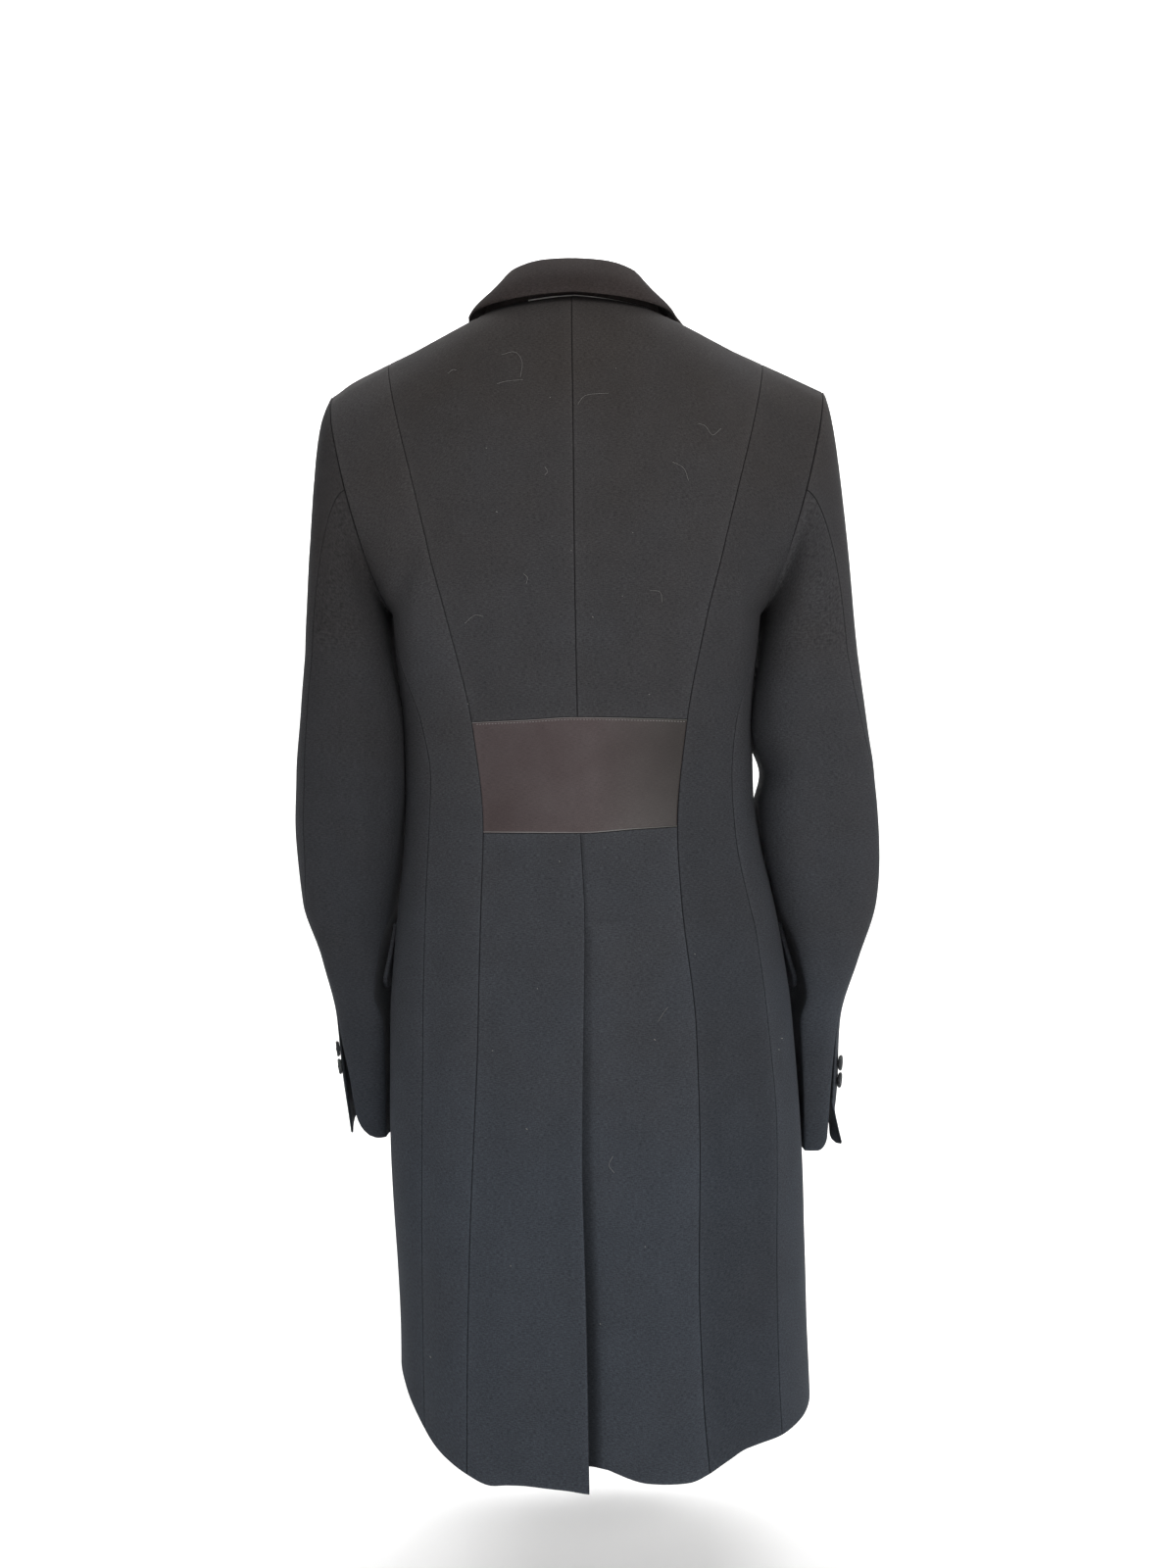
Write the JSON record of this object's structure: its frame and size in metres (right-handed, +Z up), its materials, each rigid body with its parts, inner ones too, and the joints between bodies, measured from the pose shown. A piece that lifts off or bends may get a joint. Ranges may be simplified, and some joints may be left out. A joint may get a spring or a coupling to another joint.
{
  "type": "smoking jacket",
  "caption": "Long smoking jacket, hollow as worn: shaped back with satin waist panel, vented skirt, satin lapels, pocket flaps and vented cuffs with buttons",
  "frame": {"origin": "centre of the neck opening at the height of the shoulder seams, where a wearer holds the jacket up", "axes": "+Z up, +X to the wearer's left, +Y to the back; the front faces -Y"},
  "size_m": [0.5131, 0.2398, 1.0009],
  "materials": {
    "cloth": "matt black wool crepe with a faint nap",
    "satin": "black satin with a soft, slightly warm sheen",
    "button": "polished black with a faint pearly glint"
  },
  "bodies": {
    "root": {"back_skirt_l": "cloth", "back_skirt_r": "cloth", "back_upper_l": "cloth", "back_upper_r": "cloth", "collar_fall": "cloth", "collar_stand": "cloth", "cuff_button_l1": "button", "cuff_button_l2": "button", "cuff_button_r1": "button", "cuff_button_r2": "button", "flap_l": "cloth", "flap_r": "cloth", "front_button": "button", "front_l": "cloth", "front_r": "cloth", "lapel_l": "satin", "lapel_r": "satin", "side_back_l": "cloth", "side_back_r": "cloth", "sleeve_top_l": "cloth", "sleeve_top_r": "cloth", "sleeve_under_l": "cloth", "sleeve_under_r": "cloth", "waist_panel": "satin"}
  },
  "joints": []
}
